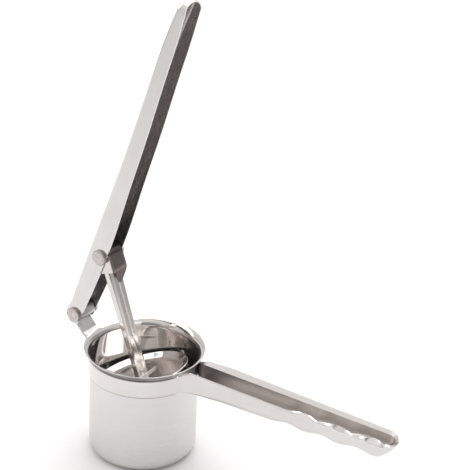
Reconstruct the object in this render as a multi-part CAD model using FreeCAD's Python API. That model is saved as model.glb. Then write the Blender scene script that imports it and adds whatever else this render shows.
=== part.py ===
import FreeCAD, Part
import math
import os

# Lever-action potato ricer, all pressed stainless sheet.
# Millimetres. Origin on the cup's axis at the underside of its base.
# +Z up, +X along the lower handle, the near wall of each channel faces -Y.

# ---- ricing cup: drawn in one piece, bell-shaped rim, punched base
cup_radius = 42.0
cup_sheet = 0.8
base_corner = 8.0
bell_start = 81.0
bell_radius = 7.09
rim_height = 87.6
hole_radius = 1.5
hole_pitch = 5.0
punched_radius = 31.0

# ---- frame: collar and lower handle in one pressing
frame_sheet = 1.2
collar_inner = 42.4
collar_bottom = 68.4
collar_top = 82.4
neck_radius = 12.0
channel_half = 9.2
shoulder_height = 84.9
neck_end = 51.4
handle_end = 212.2
tip_start = 202.0
tip_lift_start = 198.0
tip_lift_reach = 15.2
tip_blunt = 0.05
floor_rise = 0.0375
lip_at_neck = 3.9
lip_at_collar = 0.4
lip_taper = 0.0117
lip_slope = 0.727
lip_rise = 0.45
grip_start = 117.0
grip_pitch = 27.0
grip_groove = 2.1
first_groove = 130.5
last_groove = 211.5
crest_height = 3.2
crest_lean = 0.5
crest_lean_rate = 0.0574
second_crest_start = 144.0
corner_at_neck = 1.5
corner_further = 4.0
corner_full_at = 75.0
smallest_corner = 0.3
cut_height = 12.0
cut_beside = 2.0
grip_sections = 26
neck_sections = 8

# ---- hinge lug: strap with a rolled knuckle, welded to the back of the collar
hinge_x = -60.5
hinge_z = 99.4
lug_sheet = 2.2
lug_half = 8.2
lug_bore = 3.65
hinge_pin_radius = 3.6
tab_bottom = 69.4
tab_bend_z = 79.0
knee_x = -53.8
knee_z = 84.2

# ---- lever: closed-end channel, drawn here along its own length
lever_angle = 70.3
lever_half = 10.0
lever_sheet = 1.2
lever_straight = 270.0
lever_crown = 7.0
lever_heel = 7.8
lever_heel_front = -5.6
lever_web_start = 2.0
lever_corner = 3.0
# distance from the hinge pin, height of the web's back, height of the walls' front edges
lever_profile = [
    (0.0, 7.8, -5.6),
    (40.0, 7.9, -8.2),
    (81.0, 7.6, -8.9),
    (127.0, 7.0, -7.2),
    (172.0, 7.0, -5.9),
    (216.0, 7.7, -3.8),
    (245.0, 8.1, -2.7),
    (270.0, 6.9, -1.1),
]
tip_back = 4.2
tip_front = 0.9
ridge_first = 184.0
ridge_count = 13
ridge_pitch = 5.0
ridge_radius = 1.3
ridge_proud = 0.5

# ---- rivets
head_radius = 6.0
head_height = 2.4
head_edge = 0.5
plunger_pin_along = 61.7
plunger_pin_off = -3.9
plunger_pin_radius = 3.1

# ---- plunger: bracket, arm, foot and press plate, drawn here along the arm
plunger_tilt = 20.0
bracket_half = 8.4
bracket_sheet = 1.2
bracket_radius = 8.4
bracket_bore = 3.15
bracket_depth = 13.5
tongue_end = 23.5
tongue_half = 1.3
tongue_front = 3.4
arm_start = 9.0
arm_parallel_end = 15.0
arm_half_top = 7.2
arm_half_foot = 5.4
arm_front = 1.3
arm_depth = 5.1
arm_sheet = 1.2
plate_level = 96.5
plate_radius = 37.5
plate_floor_radius = 33.0
plate_dish = 4.0
plate_sheet = 1.0
foot_half = 15.0
foot_front = 4.0
foot_back = 10.0
foot_sheet = 1.2


def point(x, y, z):
    return FreeCAD.Vector(x, y, z)


def arc(start, middle, end):
    return Part.Arc(start, middle, end).toShape()


def line(start, end):
    return Part.makeLine(start, end)


def on_circle(centre_r, centre_z, radius, degrees):
    """Point in the XZ plane at an angle on a circle."""
    a = math.radians(degrees)
    return point(centre_r + radius * math.cos(a), 0, centre_z + radius * math.sin(a))


def revolved(edges):
    face = Part.Face(Part.Wire(edges))
    return face.revolve(point(0, 0, 0), point(0, 0, 1), 360)


# ------------------------------------------------------------------ ricing cup
def hopper():
    """Revolved sheet section, with rings of holes through the base."""
    corner_r = cup_radius - base_corner
    inner_corner = base_corner - cup_sheet
    inner_r = cup_radius - cup_sheet
    bell_r = cup_radius + bell_radius
    bell_turn = math.degrees(math.asin((rim_height - bell_start) / bell_radius))
    inner_bell = bell_radius + cup_sheet
    end_angle = 180 - bell_turn
    mid_angle = 180 - bell_turn / 2
    outer_rim = on_circle(bell_r, bell_start, bell_radius, end_angle)
    inner_rim = on_circle(bell_r, bell_start, inner_bell, end_angle)
    edges = [
        line(point(0, 0, 0), point(corner_r, 0, 0)),
        arc(point(corner_r, 0, 0),
            on_circle(corner_r, base_corner, base_corner, -45),
            point(cup_radius, 0, base_corner)),
        line(point(cup_radius, 0, base_corner), point(cup_radius, 0, bell_start)),
        arc(point(cup_radius, 0, bell_start),
            on_circle(bell_r, bell_start, bell_radius, mid_angle),
            outer_rim),
        line(outer_rim, inner_rim),
        arc(inner_rim,
            on_circle(bell_r, bell_start, inner_bell, mid_angle),
            point(inner_r, 0, bell_start)),
        line(point(inner_r, 0, bell_start), point(inner_r, 0, base_corner)),
        arc(point(inner_r, 0, base_corner),
            on_circle(corner_r, base_corner, inner_corner, -45),
            point(corner_r, 0, cup_sheet)),
        line(point(corner_r, 0, cup_sheet), point(0, 0, cup_sheet)),
        line(point(0, 0, cup_sheet), point(0, 0, 0)),
    ]
    shell = revolved(edges)
    return shell.cut(Part.makeCompound(base_holes()))


def base_holes():
    """Triangular grid of punched holes inside the punched circle."""
    rows = int(punched_radius / (hole_pitch * math.sqrt(3) / 2)) + 1
    columns = int(punched_radius / hole_pitch) + 1
    holes = []
    for row in range(-rows, rows + 1):
        shift = 0.5 * (row % 2)
        for column in range(-columns, columns + 1):
            x = (column + shift) * hole_pitch
            y = row * hole_pitch * math.sqrt(3) / 2
            if math.hypot(x, y) <= punched_radius:
                holes.append(Part.makeCylinder(hole_radius, 3 * cup_sheet, point(x, y, -cup_sheet)))
    return holes


# ------------------------------------------------------- collar and lower handle
def grip_wave(x):
    """0 at each finger groove and 1 at each crest of the gripped stretch."""
    if x < first_groove or x > last_groove:
        return 0.0
    return 0.5 * (1 - math.cos(2 * math.pi * (x - first_groove) / grip_pitch))


def floor_height(x):
    """Underside of the channel: a gentle rise with the finger grooves on it."""
    z = collar_bottom + floor_rise * (x - neck_end)
    if x > grip_start:
        z += 0.5 * grip_groove * (1 + math.cos(2 * math.pi * (x - first_groove) / grip_pitch))
    return z


def corner_radius(x):
    """Bottom corner of the channel, small at the neck and full size further out."""
    if x > corner_full_at:
        return corner_further
    share = (x - neck_end) / (corner_full_at - neck_end)
    return corner_at_neck + (corner_further - corner_at_neck) * share


def lip_width(x):
    return lip_at_neck - lip_taper * (x - neck_end)


def near_edge(x):
    """Offset outwards and upwards of the near lip's edge from the shoulder line."""
    wave = grip_wave(x)
    out = lip_width(x)
    lean = crest_lean + crest_lean_rate * max(0.0, x - second_crest_start)
    return (out * (1 - wave) - lean * wave, lip_slope * out * (1 - wave) + crest_height * wave)


def tip_factor(x, start, length):
    """Quarter-ellipse that closes the width or the depth towards the end."""
    if x <= start:
        return 1.0
    return math.sqrt(max(0.0, 1 - ((x - start) / length) ** 2))


def channel_section(x, sheet):
    """Closed section of the channel at x: the outside, or the space inside it."""
    width_factor = tip_factor(x, tip_start, handle_end - tip_start + tip_blunt - sheet)
    depth_factor = tip_factor(x, tip_lift_start, tip_lift_reach - sheet)
    half = (channel_half - sheet) * width_factor
    top = shoulder_height
    bottom = top - (top - floor_height(x) - sheet) * depth_factor
    r = min(max(corner_radius(x) - sheet, smallest_corner), 0.9 * half, 0.9 * (top - bottom))
    near_out, near_up = near_edge(x)
    far_out = lip_width(x)
    far_up = lip_slope * far_out
    rise = 0.0
    if sheet > 0:
        # the space inside runs on above the lips so that the cut leaves clean edges
        rise = lip_rise * sheet
    near_out *= width_factor
    far_out *= width_factor
    k = r * (1 - math.sqrt(0.5))
    near_shoulder = point(x, -half, top + rise)
    near_top = point(x, -half - near_out, top + near_up + rise)
    far_shoulder = point(x, half, top + rise)
    far_top = point(x, half + far_out, top + far_up + rise)
    edges = [
        line(near_top, near_shoulder),
        line(near_shoulder, point(x, -half, bottom + r)),
        arc(point(x, -half, bottom + r), point(x, -half + k, bottom + k), point(x, -half + r, bottom)),
        line(point(x, -half + r, bottom), point(x, half - r, bottom)),
        arc(point(x, half - r, bottom), point(x, half - k, bottom + k), point(x, half, bottom + r)),
        line(point(x, half, bottom + r), far_shoulder),
        line(far_shoulder, far_top),
    ]
    if sheet > 0:
        high = top + cut_height
        near_high = point(x, -half - near_out - cut_beside * width_factor, high)
        far_high = point(x, half + far_out + cut_beside * width_factor, high)
        edges.append(line(far_top, far_high))
        edges.append(line(far_high, near_high))
        edges.append(line(near_high, near_top))
    else:
        edges.append(line(far_top, near_top))
    return Part.Wire(edges)


def stations(first, last, count):
    return [first + (last - first) * i / (count - 1) for i in range(count)]


def channel_solid(sheet):
    """Straight stretch, gripped stretch and rounded end, lofted and fused."""
    end = handle_end - sheet
    near = [channel_section(x, sheet) for x in (neck_end, corner_full_at)]
    middle = [channel_section(x, sheet) for x in (corner_full_at, grip_start)]
    grip = [channel_section(x, sheet) for x in stations(grip_start, tip_start, grip_sections)]
    reach = end - tip_start
    steps = (0.0, 0.28, 0.52, 0.72, 0.86, 0.95, 0.99)
    tip = [channel_section(tip_start + reach * s, sheet) for s in steps]
    body = Part.makeLoft(near, True, True)
    body = body.fuse(Part.makeLoft(middle, True, True))
    body = body.fuse(Part.makeLoft(grip, True, False))
    body = body.fuse(Part.makeLoft(tip, True, False))
    return body


def neck_section(side, degrees, share):
    """Upright sheet section on the neck curve; share runs 0 at the collar to 1 at the channel."""
    centre_y = channel_half + neck_radius
    a = math.radians(degrees)
    toward = point(math.cos(a), side * math.sin(a), 0)
    centre = point(neck_end, -side * centre_y, 0)
    outer = neck_radius
    inner = neck_radius + frame_sheet
    shoulder = collar_top + (shoulder_height - collar_top) * share
    out = lip_at_collar + (lip_at_neck - lip_at_collar) * share
    up = lip_slope * out
    rise = lip_rise * frame_sheet

    def at(radius, z):
        p = centre + toward * radius
        return point(p.x, p.y, z)

    corners = [
        at(outer, collar_bottom),
        at(outer, shoulder),
        at(outer - out, shoulder + up),
        at(inner - out, shoulder + up + rise),
        at(inner, shoulder + rise),
        at(inner, collar_bottom),
    ]
    return Part.makePolygon(corners + [corners[0]])


def neck_angle():
    """Angle at the cup's axis where the collar turns out into the neck."""
    centre_y = channel_half + neck_radius
    return math.degrees(math.atan2(centre_y, neck_end))


def neck_wall(side):
    """Sheet following the concave curve from the collar to the channel wall."""
    start = 180 - neck_angle()
    sections = []
    for share in stations(0.0, 1.0, neck_sections):
        sections.append(neck_section(side, start + (90 - start) * share, share))
    return Part.makeLoft(sections, True, True)


def neck_floor():
    """Flat floor between the two neck curves, open towards the cup."""
    a = math.radians(neck_angle())
    reach = 80.0
    corners = [
        point(0, 0, collar_bottom),
        point(reach * math.cos(a), -reach * math.sin(a), collar_bottom),
        point(reach * math.cos(a), reach * math.sin(a), collar_bottom),
    ]
    wedge = Part.Face(Part.makePolygon(corners + [corners[0]]))
    plate = wedge.extrude(point(0, 0, frame_sheet))
    plate = plate.cut(Part.makeCylinder(collar_inner, 20, point(0, 0, collar_bottom - 5)))
    beyond = Part.makeBox(60, 120, 20, point(neck_end, -60, collar_bottom - 5))
    plate = plate.cut(beyond)
    for side in (-1, 1):
        centre = point(neck_end, side * (channel_half + neck_radius), collar_bottom - 5)
        plate = plate.cut(Part.makeCylinder(neck_radius + 0.6, 20, centre))
    return plate


def collar_ring():
    """Band round the cup, open where the neck begins."""
    a = neck_angle()
    height = collar_top - collar_bottom
    base = point(0, 0, collar_bottom)
    up = point(0, 0, 1)
    sweep = 360 - 2 * a
    outer = Part.makeCylinder(collar_inner + frame_sheet, height, base, up, sweep)
    inner = Part.makeCylinder(collar_inner, height + 2, point(0, 0, collar_bottom - 1), up, 360)
    outer.rotate(point(0, 0, 0), up, a)
    return outer.cut(inner)


def frame_handle():
    channel = channel_solid(0.0).cut(channel_solid(frame_sheet))
    body = channel.fuse(neck_floor())
    body = body.fuse(neck_wall(-1))
    body = body.fuse(neck_wall(1))
    body = body.fuse(collar_ring())
    return body.removeSplitter()


# --------------------------------------------------------------------- hinge lug
def strap(start, end):
    """Flat piece of strap between two points of its centre line, width along Y."""
    direction = (end - start).normalize()
    across = point(-direction.z, 0, direction.x) * (lug_sheet / 2)
    corners = [start + across, end + across, end - across, start - across]
    corners = [point(c.x, -lug_half, c.z) for c in corners]
    face = Part.Face(Part.makePolygon(corners + [corners[0]]))
    return face.extrude(point(0, 2 * lug_half, 0))


def bend(at):
    """Round of the strap at a bend."""
    return Part.makeCylinder(lug_sheet / 2, 2 * lug_half, point(at.x, -lug_half, at.z), point(0, 1, 0))


def hinge_lug():
    """Tab curved to the collar, two bends, and the end rolled round the hinge pin."""
    outside = collar_inner + frame_sheet
    tab = Part.makeCylinder(outside + lug_sheet, tab_bend_z - tab_bottom, point(0, 0, tab_bottom))
    tab = tab.cut(Part.makeCylinder(outside, 60, point(0, 0, tab_bottom - 10)))
    window = Part.makeBox(20, 2 * lug_half, 60, point(-60, -lug_half, tab_bottom - 10))
    tab = tab.common(window)
    pin = point(hinge_x, 0, hinge_z)
    knee = point(knee_x, 0, knee_z)
    top_of_tab = point(-(outside + lug_sheet / 2 + 0.55), 0, tab_bend_z)
    roll = lug_bore + lug_sheet / 2
    to_pin = pin - knee
    turn = math.asin(roll / to_pin.Length)
    angle = math.atan2(to_pin.z, to_pin.x) + turn
    reach = to_pin.Length * math.cos(turn)
    tangent = knee + point(math.cos(angle), 0, math.sin(angle)) * reach
    axis = point(0, 1, 0)
    base = point(hinge_x, -lug_half, hinge_z)
    knuckle = Part.makeCylinder(lug_bore + lug_sheet, 2 * lug_half, base, axis)
    body = tab.fuse(strap(top_of_tab, knee))
    body = body.fuse(bend(top_of_tab))
    body = body.fuse(bend(knee))
    body = body.fuse(strap(knee, tangent))
    body = body.fuse(knuckle)
    body = body.cut(Part.makeCylinder(lug_bore, 2 * lug_half + 2, base - axis, axis))
    keep_out = Part.makeCylinder(outside, 60, point(0, 0, tab_bottom - 10))
    return body.cut(keep_out).removeSplitter()


# ------------------------------------------------------------------------- lever
def place_lever(shape):
    """Turn a piece drawn along the lever's length to its place at the hinge."""
    shape.rotate(point(0, 0, 0), point(0, 1, 0), -lever_angle)
    shape.translate(point(hinge_x, 0, hinge_z))
    return shape


def lever_section(s, back, front, share, inset):
    """Section across the lever; share runs 0 at the parallel part to 1 at the crowned end."""
    crown = math.sqrt(1 - share ** 2)
    half = (lever_half - inset) * crown
    top = back - inset
    low = front
    if inset > 0:
        low = front - cut_height
    r = min(lever_corner - inset, 0.9 * half)
    k = r * (1 - math.sqrt(0.5))
    edges = [
        line(point(s, -half, low), point(s, -half, top - r)),
        arc(point(s, -half, top - r), point(s, -half + k, top - k), point(s, -half + r, top)),
        line(point(s, -half + r, top), point(s, half - r, top)),
        arc(point(s, half - r, top), point(s, half - k, top - k), point(s, half, top - r)),
        line(point(s, half, top - r), point(s, half, low)),
        line(point(s, half, low), point(s, -half, low)),
    ]
    return Part.Wire(edges)


def lever_body(inset):
    """Loft along the lever, then the crowned end; inset gives the space inside."""
    long = [lever_section(s, back, front, 0.0, inset) for s, back, front in lever_profile]
    last_s, last_back, last_front = lever_profile[-1]
    end = []
    for share in (0.0, 0.3, 0.55, 0.75, 0.88, 0.96, 0.99):
        s = last_s + (lever_crown - inset) * share
        drop = 1 - math.sqrt(1 - share ** 2)
        back = last_back - (last_back - tip_back) * drop
        front = last_front + (tip_front - last_front) * share
        end.append(lever_section(s, back, front, share, inset))
    return Part.makeLoft(long, True, False).fuse(Part.makeLoft(end, True, False))


def lever_heel_wall():
    """Round lower end of the walls, about the hinge pin, cut off at the front edge."""
    heel = Part.makeCylinder(lever_heel, 2 * lever_half, point(0, -lever_half, 0), point(0, 1, 0))
    front = Part.makeBox(40, 4 * lever_half, 20, point(-20, -2 * lever_half, lever_heel_front - 20))
    return heel.cut(front)


def lever():
    """Closed-end channel: web at the back, two walls, rounded heel, grip ridges."""
    inside_half = lever_half - lever_sheet
    gap = Part.makeBox(30, 2 * inside_half, 60, point(lever_web_start - 30, -inside_half, -30))
    ridges = Part.makeCompound(grip_ridges()).common(ridge_window())
    body = lever_body(0.0).fuse(lever_heel_wall())
    body = body.fuse(ridges)
    body = body.cut(lever_body(lever_sheet))
    body = body.cut(gap)
    reach = 4 * lever_half
    for along, off, radius in ((0, 0, hinge_pin_radius),
                               (plunger_pin_along, plunger_pin_off, plunger_pin_radius)):
        body = body.cut(Part.makeCylinder(radius, reach, point(along, -reach / 2, off), point(0, 1, 0)))
    return place_lever(body.removeSplitter())


def grip_ridges():
    """Shallow cross ridges pressed into the web under the palm."""
    ridges = []
    half = lever_half - lever_corner
    for i in range(ridge_count):
        s = ridge_first + i * ridge_pitch
        n = back_height(s) + ridge_proud - ridge_radius
        ridges.append(Part.makeCylinder(ridge_radius, 2 * half, point(s, -half, n), point(0, 1, 0)))
    return ridges


def ridge_window():
    """Upper half of the ridges, so that none shows inside the web."""
    return Part.makeBox(120, 40, 20, point(170, -20, 6.2))


def back_height(s):
    """Height of the back line at s, straight between its points."""
    for (s0, n0, _), (s1, n1, _) in zip(lever_profile, lever_profile[1:]):
        if s0 <= s <= s1:
            return n0 + (n1 - n0) * (s - s0) / (s1 - s0)
    return lever_profile[-1][1]


def rivet(along, off, radius):
    """Shank through both walls with a flat head outside each."""
    axis = point(0, 1, 0)
    shank = Part.makeCylinder(radius, 2 * lever_half, point(along, -lever_half, off), axis)
    body = shank
    for start in (-lever_half - head_height, lever_half):
        head = Part.makeCylinder(head_radius, head_height, point(along, start, off), axis)
        outer = start if start < 0 else start + head_height
        rims = [e for e in head.Edges if abs(e.BoundBox.YMin - outer) < 0.01 and e.BoundBox.YLength < 0.01]
        body = body.fuse(head.makeFillet(head_edge, rims))
    return place_lever(body.removeSplitter())


# ----------------------------------------------------------------------- plunger
def pin_position():
    a = math.radians(lever_angle)
    x = hinge_x + plunger_pin_along * math.cos(a) - plunger_pin_off * math.sin(a)
    z = hinge_z + plunger_pin_along * math.sin(a) + plunger_pin_off * math.cos(a)
    return point(x, 0, z)


def place_plunger(shape):
    """Pieces are drawn hanging straight down from the pin; tilt and place them."""
    shape.rotate(point(0, 0, 0), point(0, 1, 0), -plunger_tilt)
    shape.translate(pin_position())
    return shape


def plunger_bracket():
    """Folded bracket: two ears, a front web over the pin and a tongue down the arm."""
    axis = point(0, 1, 0)
    width = 2 * bracket_half
    base = point(0, -bracket_half, 0)
    block = Part.makeCylinder(bracket_radius, width, base, axis)
    block = block.fuse(Part.makeBox(2 * bracket_radius, width, bracket_depth,
                                    point(-bracket_radius, -bracket_half, -bracket_depth)))
    inside = bracket_radius - bracket_sheet
    inner_half = bracket_half - bracket_sheet
    inner_base = point(0, -inner_half, 0)
    room = Part.makeCylinder(inside, 2 * inner_half, inner_base, axis)
    room = room.fuse(Part.makeBox(bracket_radius + inside, 2 * inner_half, bracket_depth + 5,
                                  point(-bracket_radius, -inner_half, -bracket_depth - 5)))
    open_back = Part.makeBox(bracket_radius + 2.0, 2 * inner_half, 3 * bracket_radius,
                             point(-bracket_radius - 2.0, -inner_half, -bracket_depth - 2))
    body = block.cut(room).cut(open_back)
    body = body.cut(Part.makeCylinder(bracket_bore, width + 2, point(0, -bracket_half - 1, 0), axis))
    return place_plunger(body.fuse(tongue()).removeSplitter())


def tongue():
    """Web running down and back on to the arm, narrowing to a blunt end."""
    top = -bracket_depth + 1.5
    end = -tongue_end
    outer_top = bracket_radius
    outer_end = tongue_front + bracket_sheet
    profile = [
        point(outer_top, 0, top),
        point(outer_end, 0, end),
        point(outer_end - bracket_sheet, 0, end),
        point(outer_top - bracket_sheet, 0, top - 0.4),
        point(outer_top - bracket_sheet, 0, top),
    ]
    profile = [point(p.x, -bracket_half, p.z) for p in profile]
    slab = Part.Face(Part.makePolygon(profile + [profile[0]])).extrude(point(0, 2 * bracket_half, 0))
    shield = [
        point(-1, -bracket_half, 0),
        point(-1, -bracket_half, -bracket_depth),
        point(-1, -tongue_half, end - 0.1),
        point(-1, tongue_half, end - 0.1),
        point(-1, bracket_half, -bracket_depth),
        point(-1, bracket_half, 0),
    ]
    window = Part.Face(Part.makePolygon(shield + [shield[0]])).extrude(point(14, 0, 0))
    return slab.common(window)


def plunger_arm():
    """Open-fronted channel from the bracket to the foot, a little narrower below."""
    end = plate_level + plate_dish - foot_sheet
    sections = []
    for a, half in ((arm_start, arm_half_top), (arm_parallel_end, arm_half_top), (end, arm_half_foot)):
        back = arm_front - arm_depth
        corners = [
            point(arm_front, -half, -a),
            point(back, -half, -a),
            point(back, half, -a),
            point(arm_front, half, -a),
            point(arm_front, half - arm_sheet, -a),
            point(back + arm_sheet, half - arm_sheet, -a),
            point(back + arm_sheet, -half + arm_sheet, -a),
            point(arm_front, -half + arm_sheet, -a),
        ]
        sections.append(Part.makePolygon(corners + [corners[0]]))
    return place_plunger(Part.makeLoft(sections, True, True))


def plunger_foot():
    """Flat foot under the arm, lying on the floor of the press plate."""
    level = -(plate_level + plate_dish)
    foot = Part.makeBox(foot_front + foot_back, 2 * foot_half, foot_sheet,
                        point(-foot_back, -foot_half, level))
    upright = [e for e in foot.Edges if e.BoundBox.ZLength > foot_sheet / 2]
    return place_plunger(foot.makeFillet(2.0, upright))


def press_plate():
    """Shallow dish with a flared rim, revolved."""
    floor = -(plate_level + plate_dish)
    rim = -plate_level
    slope = math.atan2(plate_dish, plate_radius - plate_floor_radius)
    t = plate_sheet
    nx = t * math.sin(slope)
    nz = t * math.cos(slope)
    shift = t * math.tan(slope / 2)
    corners = [
        point(0, 0, floor),
        point(plate_floor_radius - nx, 0, floor),
        point(plate_radius - nx, 0, rim),
        point(plate_radius, 0, rim - nz),
        point(plate_floor_radius - nx + shift, 0, floor - t),
        point(0, 0, floor - t),
    ]
    face = Part.Face(Part.makePolygon(corners + [corners[0]]))
    dish = face.revolve(point(0, 0, 0), point(0, 0, 1), 360)
    return place_plunger(dish)


os.makedirs("parts", exist_ok=True)

pieces = {
    "hopper": hopper(),
    "frame_handle": frame_handle(),
    "hinge_lug": hinge_lug(),
    "lever": lever(),
    "hinge_pin": rivet(0.0, 0.0, hinge_pin_radius),
    "plunger_pin": rivet(plunger_pin_along, plunger_pin_off, plunger_pin_radius),
    "plunger_bracket": plunger_bracket(),
    "plunger_arm": plunger_arm(),
    "plunger_foot": plunger_foot(),
    "press_plate": press_plate(),
}
for name, shape in pieces.items():
    shape.exportStep("parts/" + name + ".step")
    box = shape.BoundBox
    print(name, len(shape.Solids), "solid(s)", shape.isValid(),
          [round(v, 2) for v in (box.XMin, box.XMax, box.YMin, box.YMax, box.ZMin, box.ZMax)],
          round(shape.Volume / 1000, 2), "cm3")
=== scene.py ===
import math

import bmesh
import bpy
import numpy as np
from mathutils import Matrix, Vector
from mathutils.geometry import delaunay_2d_cdt


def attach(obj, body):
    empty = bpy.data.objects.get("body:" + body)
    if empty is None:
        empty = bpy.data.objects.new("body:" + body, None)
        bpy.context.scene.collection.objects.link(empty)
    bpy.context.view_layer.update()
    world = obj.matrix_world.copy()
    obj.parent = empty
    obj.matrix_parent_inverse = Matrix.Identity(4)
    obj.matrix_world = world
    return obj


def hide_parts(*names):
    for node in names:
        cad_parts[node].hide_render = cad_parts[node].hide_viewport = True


# Lever-action potato ricer in stainless steel sheet.
# Sizes are in millimetres, as in the part's source, and become metres when a mesh is made.
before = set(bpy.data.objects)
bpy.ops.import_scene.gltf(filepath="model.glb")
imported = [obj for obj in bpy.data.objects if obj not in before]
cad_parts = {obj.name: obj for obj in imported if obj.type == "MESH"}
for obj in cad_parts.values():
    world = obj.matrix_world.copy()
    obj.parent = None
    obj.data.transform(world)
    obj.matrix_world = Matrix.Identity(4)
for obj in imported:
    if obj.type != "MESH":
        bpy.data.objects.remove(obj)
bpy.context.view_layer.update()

# ---------------------------------------------------------------------------- ricing cup
# One deep-drawn cup of 0.8 mm stainless sheet. Its mouth is spun out into a bell, its base
# is punched with rings of 3 mm holes, the outside is satin and the inside polished bright.
MM = 0.001
cup_radius = 42.0
cup_sheet = 0.8
cup_corner = 8.0
bell_start = 81.0
bell_radius = 7.09
bell_turn = 68.6
hole_radius = 1.5
hole_pitch = 5.0
punched_radius = 31.0
round_the_cup = 176
round_a_hole = 12


def sweep(first, last, count):
    """Evenly spaced angles in degrees, given in radians."""
    return np.radians(np.linspace(first, last, count))


def on_circle(centre, radius, angles):
    """Points (a, b) = centre + radius (cos t, sin t)."""
    return np.stack([centre[0] + radius * np.cos(angles), centre[1] + radius * np.sin(angles)], -1)


def turned(profile, around):
    """Profile of (r, z) carried round the Z axis: (r cos t, r sin t, z) for each turn t."""
    t = sweep(0, 360, around + 1)
    r = profile[:, :1]
    z = profile[:, 1:]
    return np.stack([r * np.cos(t), r * np.sin(t), z + 0 * t], -1)


def turned_grain(profile, around, ring=20.0):
    """Grain that runs round: the same ring for every row, raised by the length along the profile."""
    t = sweep(0, 360, around + 1)
    step = np.linalg.norm(np.diff(profile, axis=0), axis=1)
    along = np.concatenate([[0.0], np.cumsum(step)])[:, None]
    return np.stack([ring * np.cos(t) + 0 * along, ring * np.sin(t) + 0 * along, along + 0 * t], -1)


def patch(points, grain, flip=False, keep=None, finish=0):
    """Cells of a grid of points. Cell (i, j) has corners (i, j), (i+1, j), (i+1, j+1), (i, j+1).

    finish is the number of the finish that the cells take.
    """
    rows, columns = points.shape[:2]
    first = np.arange(rows - 1)[:, None] * columns + np.arange(columns - 1)
    cells = np.stack([first, first + columns, first + columns + 1, first + 1], -1)
    if keep is not None:
        cells = cells[keep]
    cells = cells.reshape(-1, 4)
    if flip:
        cells = cells[:, ::-1]
    return points.reshape(-1, 3), grain.reshape(-1, 3), cells, finish


def skin(name, patches, body, stands_for, finishes):
    """Patches welded where they touch, as one smooth mesh that rides on a body. Points of no cell drop out.

    Each patch is (points, grain, cells, finish). The grain is a point in a space of real
    lengths: x and y along and beside the polishing lines, z across them.
    """
    used = [np.unique(cells) for _, _, cells, _ in patches]
    points = np.concatenate([p[kept] for (p, _, _, _), kept in zip(patches, used)])
    grain = np.concatenate([g[kept] for (_, g, _, _), kept in zip(patches, used)])
    shift = np.cumsum([0] + [len(kept) for kept in used[:-1]])
    blocks = [np.searchsorted(kept, cells) + s for (_, _, cells, _), kept, s in zip(patches, used, shift)]
    cells = [corners for block in blocks for corners in block.tolist()]
    mesh = bpy.data.meshes.new(name)
    mesh.from_pydata((points * MM).tolist(), [], cells)
    worn = np.concatenate([np.full(len(block), finish) for _, _, block, finish in patches])
    mesh.polygons.foreach_set("material_index", worn.astype(np.int32))
    lines = mesh.attributes.new("grain", "FLOAT_VECTOR", "POINT")
    lines.data.foreach_set("vector", (grain * MM).astype(np.float32).ravel())
    work = bmesh.new()
    work.from_mesh(mesh)
    bmesh.ops.remove_doubles(work, verts=work.verts, dist=0.002 * MM)
    work.to_mesh(mesh)
    work.free()
    mesh.shade_smooth()
    for finish in finishes:
        mesh.materials.append(finish)
    piece = bpy.data.objects.new(name, mesh)
    bpy.context.scene.collection.objects.link(piece)
    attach(piece, body)
    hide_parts(stands_for)
    return piece


def wall(piece, sheet, edge, offset=-1.0):
    """Gives a skin its sheet thickness and breaks the cut edges.

    The inner face takes the skin's last finish; the cut edge keeps the outer one.
    """
    solid = piece.modifiers.new("sheet", "SOLIDIFY")
    solid.thickness = sheet * MM
    solid.offset = offset
    solid.use_even_offset = True
    solid.use_quality_normals = True
    inner = len(piece.data.materials) - 1
    solid.material_offset = inner
    broken = piece.modifiers.new("edge", "BEVEL")
    broken.width = edge * MM
    broken.segments = 2
    broken.limit_method = "ANGLE"
    broken.angle_limit = math.radians(48)
    broken.harden_normals = True
    return piece


def linear(code):
    """sRGB hex colour as linear red, green, blue and alpha 1."""
    parts = [int(code[i : i + 2], 16) / 255 for i in (1, 3, 5)]
    return tuple(c / 12.92 if c <= 0.04045 else ((c + 0.055) / 1.055) ** 2.4 for c in parts) + (1.0,)


def node(tree, kind, settings=(), inputs=(), links=()):
    """Adds a node, sets its properties and input values, and links outputs to its inputs."""
    made = tree.nodes.new(kind)
    for key, value in dict(settings).items():
        setattr(made, key, value)
    for key, value in dict(inputs).items():
        made.inputs[key].default_value = value
    for key, source in dict(links).items():
        tree.links.new(source, made.inputs[key])
    return made


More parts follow.
